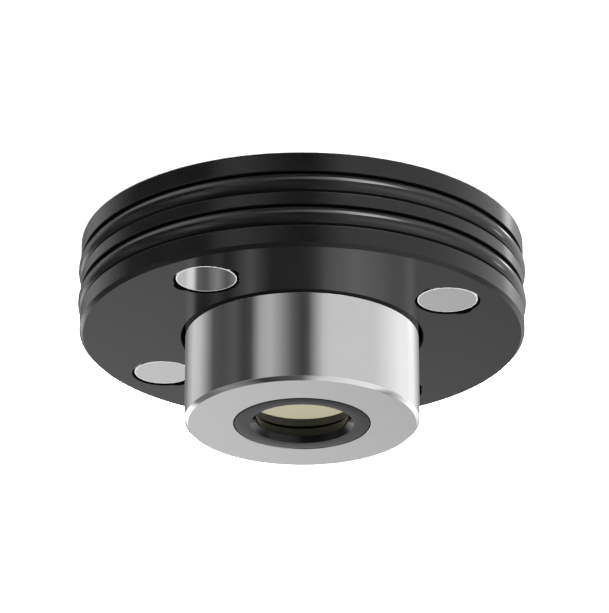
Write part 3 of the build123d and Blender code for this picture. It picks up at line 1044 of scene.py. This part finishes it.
class Studio(NodeKit):
    """The world's light: bands round the object that change with azimuth and elevation."""

    def __init__(self):
        world = bpy.data.worlds.new("studio")
        bpy.context.scene.world = world
        super().__init__(world)
        self.background = self.nodes["Background"]

    def directions(self):
        """The azimuth and the elevation of a direction, in radians."""
        coordinates = self.node("ShaderNodeTexCoord")
        split = self.node("ShaderNodeSeparateXYZ")
        self.link(coordinates.outputs["Generated"], split.inputs[0])
        x, y, z = split.outputs
        to_left = self.math("MULTIPLY", x, -1.0)
        to_camera = self.math("MULTIPLY", y, -1.0)
        return self.math("ARCTAN2", to_left, to_camera), self.math("ARCSINE", z)

    def fade(self, angle, degrees):
        """0 at the first angle in degrees, rising to 1 at the second."""
        return self.map_range(angle, [math.radians(value) for value in degrees])

    def bands(self, share, levels):
        ramp = self.node("ShaderNodeValToRGB")
        stops = ramp.color_ramp.elements
        while len(stops) < len(levels):
            stops.new(0.5)
        for stop, (degrees, level) in zip(stops, levels):
            stop.position = (degrees + 180) / 360
            stop.color = (level, level, level, 1.0)
        self.link(share, ramp.inputs[0])
        return ramp.outputs[0]

    def even(self, level):
        made = self.node("ShaderNodeRGB")
        made.outputs[0].default_value = (level, level, level, 1.0)
        return made.outputs[0]

    def blend(self, share, first, second):
        made = self.node("ShaderNodeMix", data_type="RGBA")
        first_socket, second_socket = colour_sockets(made.inputs)
        self.link(share, made.inputs[0])
        self.link(first, first_socket)
        self.link(second, second_socket)
        return colour_sockets(made.outputs)[0]

    def lamp_edge(self, angle, middle, half_width):
        """1 at the middle of a lamp, falling smoothly to 0 at its edge."""
        offset = self.math("ABSOLUTE", self.math("SUBTRACT", angle, math.radians(middle)))
        source = (math.radians(half_width), 0.0)
        return self.map_range(offset, source, interpolation_type="SMOOTHSTEP")

    def add_light(self, light, share, level):
        made = self.node("ShaderNodeVectorMath", operation="MULTIPLY_ADD")
        self.link(share, made.inputs[0])
        made.inputs[1].default_value = (level, level, level)
        self.link(light, made.inputs[2])
        return made.outputs[0]

    def build(self):
        azimuth, elevation = self.directions()
        round_share = self.map_range(azimuth, (-math.pi, math.pi))
        light = self.even(NADIR_LEVEL)
        for elevations, levels in LAYERS:
            light = self.blend(self.fade(elevation, elevations), light, self.bands(round_share, levels))
        on_left = self.fade(azimuth, LEFT_CARD_FROM)
        on_right = self.fade(azimuth, RIGHT_CARD_FROM)
        card = self.math("MULTIPLY", self.math("ADD", on_left, on_right), self.fade(elevation, CARD_BELOW))
        light = self.blend(card, light, self.even(CARD_LEVEL))
        for lamp_azimuth, lamp_elevation, half_width, half_height, level in SMALL_LAMPS:
            across = self.lamp_edge(azimuth, lamp_azimuth, half_width)
            along = self.lamp_edge(elevation, lamp_elevation, half_height)
            light = self.add_light(light, self.math("MULTIPLY", across, along), level)
        self.link(light, self.background.inputs["Color"])


def add_softbox(name, place, size, power):
    """A square area light that points at the object."""
    data = bpy.data.lights.new(name, "AREA")
    data.shape = "SQUARE"
    data.size = size
    data.energy = power
    light = bpy.data.objects.new(name, data)
    light.location = place
    aim = Vector((0, 0, face_height)) - Vector(place)
    light.rotation_euler = aim.to_track_quat("-Z", "Y").to_euler()
    light.visible_glossy = False
    bpy.context.scene.collection.objects.link(light)


FLOOR_RADIUS = 3.0
FLOOR_SEGMENTS = 128
BACKDROP_RADIUS = 3.2
BACKDROP_COLOUR = (0.97, 0.97, 0.97, 1.0)


def add_floor():
    """A round sheet of pale paper. The object mirrors the studio's bands in its place."""
    bm = bmesh.new()
    bmesh.ops.create_circle(bm, cap_ends=True, segments=FLOOR_SEGMENTS, radius=FLOOR_RADIUS)
    mesh = bpy.data.meshes.new("floor")
    bm.to_mesh(mesh)
    bm.free()
    mesh.materials.append(floor_look())
    floor = bpy.data.objects.new("floor", mesh)
    bpy.context.scene.collection.objects.link(floor)
    floor.visible_glossy = False


def add_backdrop():
    """A pale dome that only the camera sees, beyond the floor's edge."""
    bm = bmesh.new()
    bmesh.ops.create_uvsphere(bm, u_segments=64, v_segments=32, radius=BACKDROP_RADIUS)
    mesh = bpy.data.meshes.new("backdrop")
    bm.to_mesh(mesh)
    bm.free()
    material = bpy.data.materials.new("backdrop_light")
    kit = NodeKit(material)
    kit.nodes.clear()
    glow = kit.node("ShaderNodeEmission")
    glow.inputs["Color"].default_value = BACKDROP_COLOUR
    output = kit.node("ShaderNodeOutputMaterial")
    kit.link(glow.outputs[0], output.inputs["Surface"])
    mesh.materials.append(material)
    dome = bpy.data.objects.new("backdrop", mesh)
    bpy.context.scene.collection.objects.link(dome)
    dome.visible_glossy = False
    dome.visible_diffuse = False
    dome.visible_transmission = False
    dome.visible_shadow = False


# The camera's distance from the middle of the front face, in flange radii.
CAMERA_DISTANCE = 15.778
CAMERA_ELEVATION = math.radians(23.19)
CAMERA_AIM = (-0.276, 0.0, 7.163)  # mm
CAMERA_LENS = 206.27  # mm
CAMERA_SENSOR = 36.0  # mm, its width


def add_camera():
    """A long lens, turned upside down, so that the object hangs nose down in the picture."""
    data = bpy.data.cameras.new("camera")
    data.lens = CAMERA_LENS
    data.sensor_width = CAMERA_SENSOR
    data.clip_start = 0.01
    camera = bpy.data.objects.new("camera", data)
    distance = CAMERA_DISTANCE * flange_radius
    back = Vector((0, -math.cos(CAMERA_ELEVATION), math.sin(CAMERA_ELEVATION)))
    place = Vector((0, 0, face_height)) + back * distance
    away = (place - Vector(CAMERA_AIM) * MM).normalized()
    down = Vector((0, 0, -1))
    right = down.cross(away).normalized()
    up = away.cross(right)
    rotation = Matrix((right, up, away)).transposed()
    camera.matrix_world = Matrix.Translation(place) @ rotation.to_4x4()
    bpy.context.scene.collection.objects.link(camera)
    bpy.context.scene.camera = camera


def light_the_window():
    """The cell and the tube in front of the window cast no shadow, so that it is lit evenly."""
    for name in ("window_cell_ring", "window_spacer_tube"):
        bpy.data.objects[name].visible_shadow = False


def hide_from_mirrors():
    """Only the laser head and the studio show in mirror rays; every other piece is left out."""
    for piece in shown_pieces():
        piece.visible_glossy = "laser_head" in body_of(piece)


dress_cad_nodes()
build_visible_pieces()
hide_from_mirrors()
light_the_window()
Studio().build()
add_softbox("overhead", place=(0.0, 0.0, 1.2), size=1.0, power=56.0)
add_floor()
add_backdrop()
add_camera()
bpy.context.scene.view_settings.view_transform = "Standard"
